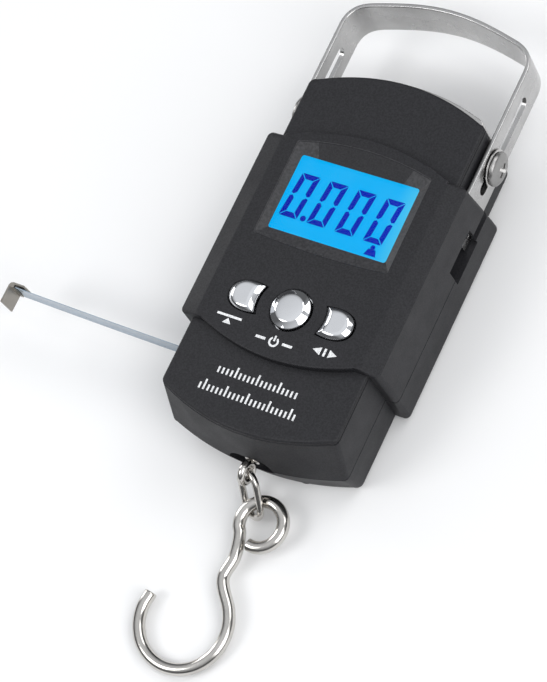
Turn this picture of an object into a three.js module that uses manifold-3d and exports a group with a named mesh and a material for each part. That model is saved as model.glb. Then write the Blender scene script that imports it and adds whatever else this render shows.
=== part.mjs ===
// A hand-held digital hanging scale: a two-part moulded case with a sliding metal handle,
// three push buttons, a built-in measuring tape and a hook on a chain link.
// Millimetres. The case lies on its back: +X to its right, +Y towards the handle, +Z out of the display.
// The origin is the middle of the flat back.
import * as THREE from 'three';
import { mergeVertices } from 'three/addons/utils/BufferGeometryUtils.js';
import Module from 'manifold-3d';

const wasm = await Module();
wasm.setup();

// ---- driving dimensions ----
const GAP = 0.3;              // clearance between touching pieces
const DEPTH = 33;             // back to raised front panel
const PARTING = 14;           // height of the joint between the two shells
const WALL = 2;               // shell wall
const SEAM = 0.15;            // half of the gap between the two shells
const CORE = {
  half: 29.6, faceZ: 30.5, topCorner: 53.7, topRise: 6.7,
  bottomCorner: -48.8, bottomRise: 6.8, partingCorner: -54.3, partingRise: 5.4,
};
const WIDE = {
  half: 33.6, frontHalf: 33, faceHalf: 27.3, chamfer: 1.5,
  top: 33, backTop: 36.2, bottom: -27.6, backBottom: -28.2,
};
const PANEL = { half: 27.1, topCorner: 33.9, topRise: 5.3, bottomCorner: -27.2, bottomRise: 5.9 };
const DISPLAY = {
  half: 19.5, bottom: 4.9, top: 29.1, recess: 1.5, bezelHalf: 22.2, bezelTop: 32.6,
  bezelBottom: 1.5,
};
const LENS = { half: 20.8, bottom: 3.6, top: 30.4, thick: 1.2 };
const BUTTON = {
  y: -17.2, radius: 6.1, top: 34.9, travel: 0.8,
  sideX: 14.6, cornerX: 10.3, cornerY: 4.3, tipX: 20.3, sideRadius: 11.1,
  flangeLow: 29.4, flangeHigh: 30.5, stem: 1.7,
};
const BOARD = { z: 22, thick: 1.6, half: 25, bottom: -26, top: 33, switchHeight: 1.9 };
const HANDLE = {
  inner: 30.1, thick: 1.4, width: 14, z: 18.8, foot: 22,
  bendStart: 74.5, archStart: 83.2, archHalf: 24, apex: 88,
};
const SLOT = { half: 2.1, bottom: 37.5, top: 70 };
const DOT = { radius: 0.9, y: 25.6, z: 15.2 };  // small hole near the end of each handle leg
// the handle legs' room in the case, the slit and the window through its side wall
const POCKET = { bottom: -4, top: 45, half: 7.4, room: 0.35 };
const SLIT = { bottom: 24, top: 40, low: 13, high: 15.9 };
const WINDOW = { bottom: 12, top: 26, low: 11.5, high: 19.5 };
const SIDE_WALL = { inside: 31, outside: 36 };
const SCREW = { y: 46.5, radius: 1.9, head: 5.25, start: 20.4, dome: 2.1 };
const WASHER = 0.5;           // thickness of the washers under the screw heads
const STRAP = {
  thick: 1.4, half: 6, legX: 25, legEnd: 40, bendY: 53, arch: 24.5, plateY: 49.9, plate: 1.2,
  proud: 1.3,
};
const CELL = { half: 6, z: 14.2, halfHeight: 5, bottom: -46, top: 49.6, boltZ: 15.2, boltBore: 1.9 };
const EYE = { y: -61.3, z: 14, radius: 3, wire: 1.15 };
const MOUTH = { half: 7.4, radius: 4.6, z: 13 };  // round-ended opening that the eyelet comes out of
const LINK = {
  half: 7.5, bend: 4.1, wire: 1.05,
  centre: [1.2, -65.6, 8.26], along: [-0.238, 0.636, 0.734], across: [0.884, -0.172, 0.436],
};
const HOOK = { x: 7, y: -72.3, z: 5.33, wire: 1.9, eye: 6.8, bowl: 13.9, bowlX: -10.1, bowlY: -33.7 };
const REEL = { x: -16.6, y: -42.2, outer: 7.4, inner: 4.6, low: 13.6, high: 20.4, bore: 1.8 };
const TAPE = { thick: 0.3, end: -94.5, bow: 0.5, mouth: -29.4, clip: 3.2, stop: 2.4, drop: 6.3, skin: 0.6 };
const TAPE_Y = REEL.y + REEL.outer + GAP + TAPE.thick / 2;
const CELLS = { x: 15.2, z: 8.1, radius: 5.1, bottom: -24, top: 20 };
const COVER = { half: 21.2, bottom: -31, top: 23.5, lip: 1, sill: 1.6, thick: 1.3 };
// each: x, y, top of the front shell's post
const CASE_SCREWS = [[-20, 38.5, 28.8], [20, 38.5, 28.8], [-11.5, -52.2, 27], [11.5, -52.2, 27]];

// ---- solids ----
function solid(geometry) {
  const bare = geometry.index ? geometry.toNonIndexed() : geometry.clone();
  bare.deleteAttribute('normal');
  bare.deleteAttribute('uv');
  const merged = mergeVertices(bare, 1e-4);
  const vertProperties = new Float32Array(merged.attributes.position.array);
  const triVerts = new Uint32Array(merged.index.array);
  return new wasm.Manifold(new wasm.Mesh({ numProp: 3, vertProperties, triVerts }));
}

function toGeometry(body) {
  const mesh = body.getMesh();
  const geometry = new THREE.BufferGeometry();
  geometry.setAttribute('position', new THREE.BufferAttribute(new Float32Array(mesh.vertProperties), 3));
  geometry.setIndex(new THREE.BufferAttribute(new Uint32Array(mesh.triVerts), 1));
  const flat = geometry.toNonIndexed();
  flat.computeVertexNormals();
  return flat;
}

function join(...geometries) {
  return toGeometry(geometries.map(solid).reduce((a, b) => a.add(b)));
}

function cut(geometry, ...tools) {
  return toGeometry(tools.map(solid).reduce((a, b) => a.subtract(b), solid(geometry)));
}

function block(x0, x1, y0, y1, z0, z1) {
  const geometry = new THREE.BoxGeometry(x1 - x0, y1 - y0, z1 - z0);
  return geometry.translate((x0 + x1) / 2, (y0 + y1) / 2, (z0 + z1) / 2);
}

// A round bar between two places on one axis ('x', 'y' or 'z') through (a, b) on the other two.
function bar(axis, radius, from, to, a, b, sides = 14) {
  const geometry = new THREE.CylinderGeometry(radius, radius, to - from, sides);
  const middle = (from + to) / 2;
  if (axis === 'x') return geometry.rotateZ(-Math.PI / 2).translate(middle, a, b);
  if (axis === 'y') return geometry.translate(a, middle, b);
  return geometry.rotateX(Math.PI / 2).translate(a, b, middle);
}

function ringPoints(inner, outer, low, high) {
  return [[inner, low], [outer, low], [outer, high], [inner, high], [inner, low]];
}

// A turned piece about the Z axis through (x, y); profile is a list of [radius, z].
function turned(profile, x, y, sides = 24) {
  const points = profile.map(([r, z]) => new THREE.Vector2(r, z));
  return new THREE.LatheGeometry(points, sides).rotateX(Math.PI / 2).translate(x, y, 0);
}

function prism(outline, z0, z1) {
  const shape = new THREE.Shape(outline.map(([x, y]) => new THREE.Vector2(x, y)));
  return new THREE.ExtrudeGeometry(shape, { depth: z1 - z0, bevelEnabled: false }).translate(0, 0, z0);
}

// A closed skin through outlines stacked in height, all with the same number of points.
function loft(levels) {
  const count = levels[0].outline.length;
  const positions = levels.flatMap(({ z, outline }) => outline.flatMap(([x, y]) => [x, y, z]));
  const index = [];
  for (let level = 0; level < levels.length - 1; level += 1) {
    for (let i = 0; i < count; i += 1) {
      const a = level * count + i;
      const b = level * count + ((i + 1) % count);
      index.push(a, b, b + count, a, b + count, a + count);
    }
  }
  const last = levels.length - 1;
  const top = last * count;
  const cap = (level) => {
    const corners = level.outline.map(([x, y]) => new THREE.Vector2(x, y));
    return THREE.ShapeUtils.triangulateShape(corners, []);
  };
  cap(levels[0]).forEach(([a, b, c]) => index.push(a, c, b));
  cap(levels[last]).forEach(([a, b, c]) => index.push(top + a, top + b, top + c));
  const geometry = new THREE.BufferGeometry();
  geometry.setAttribute('position', new THREE.Float32BufferAttribute(positions, 3));
  geometry.setIndex(index);
  return geometry;
}

// Outline with straight sides and arched ends; every corner is rounded by `round`.
function outline(half, low, lowRise, high, highRise, round = 1.5, steps = 10) {
  const points = [];
  const reach = half - round;
  const arch = (x, rise) => rise * (1 - (x / half) ** 2);
  const corner = (cx, cy, start) => {
    for (let i = 1; i < 3; i += 1) {
      const angle = start + (Math.PI / 2) * (i / 3);
      points.push([cx + round * Math.cos(angle), cy + round * Math.sin(angle)]);
    }
  };
  for (let i = 0; i <= steps; i += 1) {
    const x = -reach + (2 * reach * i) / steps;
    points.push([x, low - arch(x, lowRise) + arch(reach, lowRise)]);
  }
  corner(reach, low + round, -Math.PI / 2);
  points.push([half, low + round], [half, high - round]);
  corner(reach, high - round, 0);
  for (let i = 0; i <= steps; i += 1) {
    const x = reach - (2 * reach * i) / steps;
    points.push([x, high + arch(x, highRise) - arch(reach, highRise)]);
  }
  corner(-reach, high - round, Math.PI / 2);
  points.push([-half, high - round], [-half, low + round]);
  corner(-reach, low + round, Math.PI);
  return points;
}

// A wire of round section along a curve.
function wire(curve, radius, steps, sides = 8) {
  const section = new THREE.Shape();
  for (let i = 0; i < sides; i += 1) {
    const angle = (2 * Math.PI * i) / sides;
    const x = radius * Math.cos(angle);
    const y = radius * Math.sin(angle);
    if (i === 0) section.moveTo(x, y);
    else section.lineTo(x, y);
  }
  return new THREE.ExtrudeGeometry(section, { steps, extrudePath: curve, bevelEnabled: false });
}

// ---- the case ----
function coreLevel(z, inset) {
  const t = Math.min(Math.max((z - PARTING) / (CORE.faceZ - PARTING), 0), 1);
  const back = Math.min(Math.max(1 - z / PARTING, 0), 1);
  const low = CORE.partingCorner + (CORE.bottomCorner - CORE.partingCorner) * t + 2.5 * back;
  const rise = CORE.partingRise + (CORE.bottomRise - CORE.partingRise) * t;
  const half = CORE.half - 0.4 * t - 0.5 * back;
  return { z, outline: outline(half - inset, low + inset, rise, CORE.topCorner - inset, CORE.topRise, 2) };
}

function coreSolid(inset, low, high) {
  const levels = [coreLevel(low, inset + (low < 1 ? 2.4 : 0))];
  if (low < 1) levels.push(coreLevel(0.9, inset + 0.7), coreLevel(3, inset));
  if (high > PARTING) levels.push(coreLevel(Math.max(low + 0.01, PARTING), inset));
  if (high >= CORE.faceZ) levels.push(coreLevel(CORE.faceZ - 0.8, inset));
  levels.push({ ...coreLevel(high, inset + (high >= CORE.faceZ ? 0.7 : 0)), z: high });
  return loft(levels);
}

function wideLevel(z, half, inset = 0) {
  const back = 1 - z / DEPTH;
  const low = WIDE.bottom + (WIDE.backBottom - WIDE.bottom) * back + inset;
  const high = WIDE.top + (WIDE.backTop - WIDE.top) * back - inset;
  return { z, outline: outline(half, low, 0, high, 0, 1.6, 4) };
}

function wideSolid(low, high) {
  if (low < 1) {
    return loft([
      wideLevel(0, WIDE.half - 3, 2.8), wideLevel(0.9, WIDE.half - 1, 0.9),
      wideLevel(3, WIDE.half), wideLevel(high, WIDE.half),
    ]);
  }
  const edge = DEPTH - WIDE.chamfer;
  return loft([
    wideLevel(low, WIDE.half), wideLevel(edge, WIDE.frontHalf),
    wideLevel(edge + 0.25, WIDE.frontHalf - 0.3), wideLevel(high, WIDE.faceHalf, 0.3),
  ]);
}

function panelSolid() {
  const level = (z, inset) => ({
    z,
    outline: outline(
      PANEL.half - inset, PANEL.bottomCorner + inset, PANEL.bottomRise,
      PANEL.topCorner - inset, PANEL.topRise, 1,
    ),
  });
  return loft([level(28, 0), level(DEPTH - 0.5, 0), level(DEPTH, 0.45)]);
}

// Room for the right leg of the handle.
function handleRoom() {
  const { inner, thick, z } = HANDLE;
  const { inside, outside } = SIDE_WALL;
  return join(
    block(
      inner - POCKET.room, inner + thick + POCKET.room, POCKET.bottom, POCKET.top,
      z - POCKET.half, z + POCKET.half,
    ),
    block(inside, outside, SLIT.bottom, SLIT.top, SLIT.low, SLIT.high),
    block(inside, outside, WINDOW.bottom, WINDOW.top, WINDOW.low, WINDOW.high),
  );
}

function mirrored(geometry) {
  const copy = geometry.index ? geometry.toNonIndexed() : geometry.clone();
  const p = copy.attributes.position;
  for (let i = 0; i < p.count; i += 3) {
    const corner = [0, 1, 2].map((k) => [-p.getX(i + k), p.getY(i + k), p.getZ(i + k)]);
    p.setXYZ(i, ...corner[0]);
    p.setXYZ(i + 1, ...corner[2]);
    p.setXYZ(i + 2, ...corner[1]);
  }
  copy.deleteAttribute('normal');
  copy.computeVertexNormals();
  return copy;
}

function hookMouth() {
  const { half, radius, z } = MOUTH;
  const x = half - radius;
  return join(
    block(-x, x, -66, -50, z - radius, z + radius),
    bar('y', radius, -66, -50, -x, z, 16), bar('y', radius, -66, -50, x, z, 16),
  );
}

function tapeMouth() {
  return block(-36, -24, TAPE_Y - 1.1, TAPE_Y + 1.4, REEL.low - 0.8, REEL.high + 0.8);
}

function strapCurve() {
  const middle = STRAP.proud - STRAP.thick / 2;
  const top = (x) => CORE.topCorner + CORE.topRise * (1 - (x / CORE.half) ** 2) + middle;
  const legX = STRAP.legX + STRAP.thick / 2;
  const points = [[-legX, STRAP.legEnd], [-legX, STRAP.bendY]];
  for (let i = -7; i <= 7; i += 1) {
    const x = (i / 7) * STRAP.arch;
    points.push([x, top(x)]);
  }
  points.push([legX, STRAP.bendY], [legX, STRAP.legEnd]);
  return points;
}

// A strip of even thickness along an open line, standing `z0` to `z1`.
function strip(points, thick, z0, z1) {
  const normal = (i) => {
    const a = points[Math.max(i - 1, 0)];
    const b = points[Math.min(i + 1, points.length - 1)];
    const length = Math.hypot(b[0] - a[0], b[1] - a[1]);
    return [-(b[1] - a[1]) / length, (b[0] - a[0]) / length];
  };
  const side = (sign) => points.map(([x, y], i) => {
    const [nx, ny] = normal(i);
    return [x + (sign * nx * thick) / 2, y + (sign * ny * thick) / 2];
  });
  return prism([...side(-1), ...side(1).reverse()], z0, z1);
}

function strapRoom() {
  const reach = STRAP.half + GAP;
  return strip(strapCurve(), STRAP.thick + 2 * GAP, HANDLE.z - reach, HANDLE.z + reach);
}

function crescent(inset) {
  const c = BUTTON;
  const shape = new THREE.Shape();
  const r = c.sideRadius + inset;
  const angle = Math.atan2(c.cornerY - inset, c.cornerX);
  shape.moveTo(r * Math.cos(angle), r * Math.sin(angle));
  shape.absarc(0, 0, r, angle, -angle, true);
  const tip = c.tipX - inset;
  const y = r * Math.sin(angle);
  shape.bezierCurveTo(15.5, -y - 1.2, tip, -y, tip, 0);
  shape.bezierCurveTo(tip, y, 15.5, y + 1.2, r * Math.cos(angle), y);
  return shape.getPoints(8).slice(0, -1).map((p) => [p.x, p.y + c.y]);
}

function frontShell() {
  const base = PARTING + SEAM;
  const outer = join(coreSolid(0, base, CORE.faceZ), wideSolid(base, DEPTH), panelSolid());
  const cavity = coreSolid(WALL + 0.3, PARTING - 1, CORE.faceZ - WALL);
  const panelRoom = block(-25.2, 25.2, -26.5, 33.4, 20, DEPTH - 2);
  const seat = DEPTH - DISPLAY.recess;
  const lensRoom = block(-LENS.half - 0.4, LENS.half + 0.4, LENS.bottom - 0.4, LENS.top + 0.4, 20, seat);
  const opening = outline(DISPLAY.half, DISPLAY.bottom, 0, DISPLAY.top, 0, 0.8);
  const rim = outline(DISPLAY.bezelHalf, DISPLAY.bezelBottom, 1, DISPLAY.bezelTop, 2.9, 0.8);
  const bezel = loft([
    { z: seat - 3, outline: opening },
    { z: seat, outline: opening },
    { z: DEPTH + 0.02, outline: rim },
  ]);
  const holes = [
    bar('z', BUTTON.radius + 0.4, 26, 40, 0, BUTTON.y, 40),
    prism(crescent(-0.4), 26, 40),
    mirrored(prism(crescent(-0.4), 26, 40)),
  ];
  const side = handleRoom();
  const screwHoles = bar('x', SCREW.radius + 0.4, -36, 36, SCREW.y, HANDLE.z);
  const hollow = cut(
    outer, cavity, panelRoom, lensRoom, bezel, ...holes, side, mirrored(side), screwHoles,
    hookMouth(), tapeMouth(), strapRoom(),
  );
  const posts = CASE_SCREWS.map(([x, y, high]) => bar('z', 2.4, base, high, x, y));
  const bores = CASE_SCREWS.map(([x, y]) => bar('z', 1.5, PARTING - 1, 22, x, y));
  return cut(join(hollow, ...posts), ...bores, strapRoom());
}

function rearShell() {
  const rim = PARTING - SEAM;
  const outer = join(coreSolid(0, 0, rim), wideSolid(0, rim));
  const cavity = coreSolid(WALL + 0.3, WALL, PARTING + 1);
  const side = handleRoom();
  const { half, bottom, top, lip, sill } = COVER;
  const rebate = block(-half, half, bottom, top, -1, sill);
  const opening = block(-half + lip, half - lip, bottom + lip, top - lip, -1, 5);
  const heads = CASE_SCREWS.map(([x, y]) => bar('z', 2.9, -1, 2.8, x, y));
  const bores = CASE_SCREWS.map(([x, y]) => bar('z', 1.5, -1, PARTING + 1, x, y));
  const posts = CASE_SCREWS.flatMap(([x, y]) => [
    bar('z', 3.6, 1, 4.6, x, y), bar('z', 2.4, 4, rim, x, y),
  ]);
  const ribs = [
    block(8.3, 9.5, -30.4, 22.9, 1.8, 9), block(-9.5, -8.3, -30.4, 22.9, 1.8, 9),
    block(-27.6, 27.6, -31.2, -30, 1.8, 10), block(-27.6, 27.6, 22.5, 23.7, 1.8, 10),
    bar('z', 3, 1, 6, REEL.x, REEL.y),
  ];
  const cellGap = block(-CELL.half - 0.5, CELL.half + 0.5, -56, 52, 8.4, 20);
  const hollow = cut(outer, cavity);
  const filled = join(hollow, ...posts, ...ribs);
  const axleBore = bar('z', REEL.bore, 2.6, 20, REEL.x, REEL.y);
  const screwHoles = bar('x', SCREW.radius + 0.4, -36, 36, SCREW.y, HANDLE.z);
  return cut(
    filled, side, mirrored(side), rebate, opening, ...heads, ...bores, cellGap,
    hookMouth(), tapeMouth(), strapRoom(), axleBore, screwHoles,
  );
}

// ---- display and electronics ----
function lens() {
  const { half, bottom, top, thick } = LENS;
  const level = (z, inset) => ({
    z,
    outline: outline(half - inset, bottom + inset, 0, top - inset, 0, 1, 2),
  });
  const face = DEPTH - DISPLAY.recess - GAP;
  return loft([level(face - thick, 0), level(face - 0.1, 0), level(face, 0.1)]);
}

function lcdPanel() {
  const glass = block(-20.6, 20.6, 3.8, 30.2, 27.7, 28.9);
  const upper = block(-20.6, 20.6, 5.4, 30.2, 28.8, 29.7);
  return join(glass, upper);
}

function backlight() {
  const slab = block(-20.6, 20.6, 6.6, 30.2, 24.3, 27.4);
  return join(slab, block(20.5, 23.2, 14, 20, 24.3, 25.6));
}

function mainBoard() {
  const board = block(-BOARD.half, BOARD.half, BOARD.bottom, BOARD.top, BOARD.z, BOARD.z + BOARD.thick);
  const corners = [[-22.5, -23.5], [22.5, -23.5], [-22.8, 30.8], [22.8, 30.8]];
  return cut(board, ...corners.map(([x, y]) => bar('z', 1.2, 20, 26, x, y, 16)));
}

function tactSwitch(x) {
  const z = BOARD.z + BOARD.thick + GAP;
  const top = z + BOARD.switchHeight;
  const dome = turned([[0, top - 0.5], [1.3, top - 0.5], [1.3, top], [0, top]], x, BUTTON.y, 16);
  return join(block(x - 2.2, x + 2.2, BUTTON.y - 2.2, BUTTON.y + 2.2, z, top - 0.4), dome);
}

function chip() {
  const z = BOARD.z - GAP;
  const legs = [-3, -1, 1, 3].flatMap((y) => [
    block(-17.6, -16.7, y - 0.4, y + 0.4, z - 0.9, z),
    block(-11.3, -10.4, y - 0.4, y + 0.4, z - 0.9, z),
  ]);
  return join(block(-16.8, -11.2, -4, 4, z - 1.7, z - 0.4), ...legs);
}

// ---- buttons ----
const STEM_END = BOARD.z + BOARD.thick + GAP + BOARD.switchHeight + GAP + BUTTON.travel;

function roundButton() {
  const { radius: r, top, stem, flangeLow, flangeHigh } = BUTTON;
  return turned([
    [0, STEM_END], [stem, STEM_END], [stem, flangeLow],
    [r + 1, flangeLow], [r + 1, flangeHigh], [r, flangeHigh],
    [r, top - 1.5], [r - 0.25, top - 1.1], [r - 1.35, top - 0.2], [r - 1.75, top], [0, top + 0.12],
  ], 0, BUTTON.y, 28);
}

function crescentButton() {
  const { top, stem, flangeLow, flangeHigh } = BUTTON;
  const cap = loft([
    { z: flangeHigh - 0.1, outline: crescent(0) }, { z: top - 1.6, outline: crescent(0) },
    { z: top - 1, outline: crescent(0.3) }, { z: top - 0.35, outline: crescent(1.1) },
    { z: top - 0.1, outline: crescent(1.8) },
  ]);
  const flange = prism(crescent(-0.9), flangeLow, flangeHigh);
  return join(cap, flange, bar('z', stem, STEM_END, flangeLow + 0.2, BUTTON.sideX, BUTTON.y, 16));
}

// ---- handle and load path ----
function handlePath() {
  const { foot, bendStart, archStart, archHalf } = HANDLE;
  const x = HANDLE.inner + HANDLE.thick / 2;
  const apex = HANDLE.apex - HANDLE.thick / 2;
  const curve = new THREE.Path();
  curve.moveTo(-x, foot);
  curve.lineTo(-x, bendStart);
  curve.bezierCurveTo(-x, bendStart + 5.6, -archHalf - 3.6, archStart - 1.1, -archHalf, archStart);
  curve.bezierCurveTo(-archHalf + 9, apex - 1.6, -8, apex, 0, apex);
  const left = curve.getPoints(8).map((p) => [p.x, p.y]);
  return [...left, ...left.slice(0, -1).reverse().map(([px, py]) => [-px, py])];
}

function handle() {
  const low = HANDLE.z - HANDLE.width / 2;
  const bow = strip(handlePath(), HANDLE.thick, low, low + HANDLE.width);
  const ends = [SLOT.bottom + SLOT.half, SLOT.top - SLOT.half];
  const slot = join(
    block(-36, 36, ...ends, HANDLE.z - SLOT.half, HANDLE.z + SLOT.half),
    ...ends.map((y) => bar('x', SLOT.half, -36, 36, y, HANDLE.z, 16)),
  );
  return cut(bow, slot, bar('x', DOT.radius, -36, 36, DOT.y, DOT.z, 12));
}

function alongX(profile, sides) {
  return turned(profile, 0, 0, sides).rotateY(Math.PI / 2).translate(0, SCREW.y, HANDLE.z);
}

function handleScrew() {
  const out = HANDLE.inner + HANDLE.thick + GAP + WASHER + GAP;
  const profile = [
    [0, SCREW.start], [1.5, SCREW.start], [SCREW.radius, SCREW.start + 0.5], [SCREW.radius, out],
    [SCREW.head, out], [SCREW.head, out + 0.5], [4.6, out + 1.15], [3.2, out + 1.75],
    [1.6, out + SCREW.dome - 0.05], [0, out + SCREW.dome],
  ];
  const body = alongX(profile, 20);
  const cross = join(
    block(out + 0.9, out + 3, SCREW.y - 2.4, SCREW.y + 2.4, HANDLE.z - 0.45, HANDLE.z + 0.45),
    block(out + 0.9, out + 3, SCREW.y - 0.45, SCREW.y + 0.45, HANDLE.z - 2.4, HANDLE.z + 2.4),
  );
  return cut(body, cross);
}

function washer() {
  const from = HANDLE.inner + HANDLE.thick + GAP;
  return alongX(ringPoints(SCREW.radius + GAP, 5.7, from, from + WASHER), 20);
}

function nut() {
  return alongX(ringPoints(SCREW.radius + GAP, 3.1, STRAP.legX - GAP - 3.1, STRAP.legX - GAP), 6);
}

function hangerStrap() {
  const bow = strip(strapCurve(), STRAP.thick, HANDLE.z - STRAP.half, HANDLE.z + STRAP.half);
  const reach = STRAP.legX + STRAP.thick / 2;
  const { plateY, plate, half } = STRAP;
  const tie = block(-reach, reach, plateY, plateY + plate, HANDLE.z - half, HANDLE.z + half - 1);
  return cut(
    join(bow, tie), bar('x', SCREW.radius + GAP, -36, 36, SCREW.y, HANDLE.z),
    bar('y', CELL.boltBore, 45, 56, 0, CELL.boltZ, 16),
  );
}

function loadCell() {
  const { half, z, halfHeight, bottom, top } = CELL;
  const beam = block(-half, half, bottom, top, z - halfHeight, z + halfHeight);
  return cut(
    beam, bar('x', 3.4, -9, 9, -6, z), bar('x', 3.4, -9, 9, 6, z), block(-9, 9, -6, 6, z - 0.9, z + 0.9),
    bar('y', CELL.boltBore, 38, 60, 0, CELL.boltZ, 16), bar('y', EYE.wire + 0.6, -60, -36, 0, EYE.z, 16),
  );
}

function loadCellBolt() {
  const profile = [[0, 40], [1.6, 40], [1.6, 51.4], [3, 51.4], [3, 53.6], [0, 53.6]];
  const points = profile.map(([r, y]) => new THREE.Vector2(r, y));
  return new THREE.LatheGeometry(points, 12).translate(0, 0, CELL.boltZ);
}

function eyelet() {
  const torus = new THREE.TorusGeometry(EYE.radius, EYE.wire, 8, 20);
  const ring = torus.rotateY(Math.PI / 2).translate(0, EYE.y, EYE.z);
  return join(ring, bar('y', EYE.wire + 0.3, EYE.y + EYE.radius, -39, 0, EYE.z, 16));
}

// The chain link: an oval of round wire, threaded through the eyelet and the hook's own eye.
class Oval extends THREE.Curve {
  getPoint(t, target = new THREE.Vector3()) {
    const angle = 2 * Math.PI * t;
    const straight = LINK.half - LINK.bend;
    const x = LINK.bend * Math.cos(angle);
    const y = LINK.bend * Math.sin(angle) + straight * Math.tanh(6 * Math.sin(angle));
    return target.set(x, y, 0);
  }
}

// A closed ring of wire round a flat closed curve.
function closedWire(curve, radius, steps, sides) {
  const levels = [];
  for (let i = 0; i < steps; i += 1) {
    const at = curve.getPointAt(i / steps);
    const out = curve.getTangentAt(i / steps).cross(new THREE.Vector3(0, 0, 1));
    for (let k = 0; k < sides; k += 1) {
      const angle = (2 * Math.PI * k) / sides;
      const r = radius * Math.cos(angle);
      levels.push(at.x + r * out.x, at.y + r * out.y, radius * Math.sin(angle));
    }
  }
  const index = [];
  for (let i = 0; i < steps; i += 1) {
    for (let k = 0; k < sides; k += 1) {
      const a = i * sides + k;
      const b = i * sides + ((k + 1) % sides);
      const c = ((i + 1) % steps) * sides + k;
      const d = ((i + 1) % steps) * sides + ((k + 1) % sides);
      index.push(a, c, b, b, c, d);
    }
  }
  const geometry = new THREE.BufferGeometry();
  geometry.setAttribute('position', new THREE.Float32BufferAttribute(levels, 3));
  geometry.setIndex(index);
  return geometry;
}

function link() {
  const across = new THREE.Vector3(...LINK.across).normalize();
  const along = new THREE.Vector3(...LINK.along);
  along.addScaledVector(across, -across.dot(along)).normalize();
  const turn = new THREE.Matrix4().makeBasis(across, along, across.clone().cross(along));
  return closedWire(new Oval(), LINK.wire, 36, 8).applyMatrix4(turn).translate(...LINK.centre);
}

// The hook's centre line, flat, from the open end of its eye round to the tip.
function hookCurve() {
  const points = [];
  const arc = (cx, cy, r, from, to, step) => {
    const count = Math.round(Math.abs(to - from) / step);
    for (let i = 0; i <= count; i += 1) {
      const angle = THREE.MathUtils.degToRad(from + ((to - from) * i) / count);
      points.push(new THREE.Vector3(cx + r * Math.cos(angle), cy + r * Math.sin(angle), 0));
    }
  };
  arc(0, 0, HOOK.eye, -102, 222, 20);
  points.push(new THREE.Vector3(-3.5, -11.4, 0), new THREE.Vector3(-4.1, -18.4, 0));
  arc(HOOK.bowlX, HOOK.bowlY, HOOK.bowl, 33, -198, 21);
  return new THREE.CatmullRomCurve3(points, false, 'centripetal');
}

function hook() {
  const reach = HOOK.bowl - HOOK.bowlY;
  const tilt = Math.asin((HOOK.z - HOOK.wire - 0.05) / reach);
  return wire(hookCurve(), HOOK.wire, 60, 8).rotateX(tilt).translate(HOOK.x, HOOK.y, HOOK.z);
}

// ---- tape ----
function tapeReel() {
  const profile = [
    [REEL.bore, 12.2], [REEL.outer + 0.5, 12.2], [REEL.outer + 0.5, 13], [REEL.inner - GAP, 13.2],
    [REEL.inner - GAP, REEL.high], [REEL.bore, REEL.high], [REEL.bore, 12.2],
  ];
  return turned(profile, REEL.x, REEL.y, 28);
}

function tapeCoil() {
  return turned(ringPoints(REEL.inner, REEL.outer, REEL.low, REEL.high), REEL.x, REEL.y, 28);
}

function reelAxle() {
  return turned([[0, 3], [1.5, 3], [1.5, 20.7], [2.6, 20.7], [2.6, 21.5], [0, 21.6]], REEL.x, REEL.y, 12);
}

function reelSpring() {
  const points = [];
  for (let i = 0; i <= 36; i += 1) {
    const angle = (i / 36) * 2 * Math.PI * 3.2;
    const radius = 3.6 + 4.2 * (i / 36);
    points.push([REEL.x + radius * Math.cos(angle), REEL.y + radius * Math.sin(angle)]);
  }
  return strip(points, 0.5, 7.2, 11.8);
}

function bladeY(x) {
  const t = Math.max((TAPE.mouth - x) / (TAPE.mouth - TAPE.end), 0);
  return TAPE_Y + TAPE.bow * t * t;
}

function tapeBlade() {
  const points = [[REEL.x, TAPE_Y]];
  for (let i = 0; i <= 16; i += 1) {
    const x = TAPE.mouth + ((TAPE.end - TAPE.mouth) * i) / 16;
    points.push([x, bladeY(x)]);
  }
  return strip(points, TAPE.thick, REEL.low, REEL.high);
}

function tapeEndHook() {
  const { clip, stop, drop, skin } = TAPE;
  const y = bladeY(TAPE.end);
  const gap = TAPE.thick / 2 + GAP;
  const end = TAPE.end - GAP;
  const face = end - stop;
  const points = [
    [end + clip, y + gap], [end + clip, y + gap + skin], [face + skin, y + gap + skin],
    [face, y + gap], [face, y - drop], [face + skin, y - drop], [face + skin, y - gap],
    [end, y - gap], [end, y + gap],
  ];
  return prism(points, REEL.low - 0.4, REEL.high + 0.4);
}

// ---- power ----
function dryCell(x) {
  const body = bar('y', CELLS.radius, CELLS.bottom, CELLS.top - 1, x, CELLS.z, 24);
  return join(body, bar('y', 1.7, CELLS.top - 1.2, CELLS.top, x, CELLS.z, 16));
}

class Coil extends THREE.Curve {
  constructor(x, low, high) {
    super();
    this.x = x;
    this.low = low;
    this.high = high;
  }

  getPoint(t, target = new THREE.Vector3()) {
    const angle = 2 * Math.PI * 3 * t;
    const radius = 3.6 - 1.2 * t;
    const y = this.low + (this.high - this.low) * t;
    return target.set(this.x + radius * Math.cos(angle), y, CELLS.z + radius * Math.sin(angle));
  }
}

function cellSpring(x) {
  return wire(new Coil(x, -28.4, CELLS.bottom - 0.7), 0.35, 36, 5);
}

function cellContact(x) {
  return block(x - 3.8, x + 3.8, CELLS.top + GAP, CELLS.top + 0.8, CELLS.z - 3.8, CELLS.z + 3.8);
}

function batteryCover() {
  const { half, bottom, top, lip } = COVER;
  const edge = outline(half - GAP, bottom + GAP, 0, top - GAP, 0, 0.8, 2);
  const plate = prism(edge, 0, COVER.thick);
  const rib = (x) => block(x - 0.6, x + 0.6, bottom + lip + 1, top - lip - 1, 1.2, 2.6);
  const grip = [0, 1, 2].map((i) => block(-6, 6, 15.5 + 2 * i, 16.4 + 2 * i, -1, 0.6));
  const frame = block(-half + lip + GAP, half - lip - GAP, top - lip - 2.2, top - lip - GAP, 1.2, 3.4);
  return cut(join(plate, rib(0), frame), ...grip);
}

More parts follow.
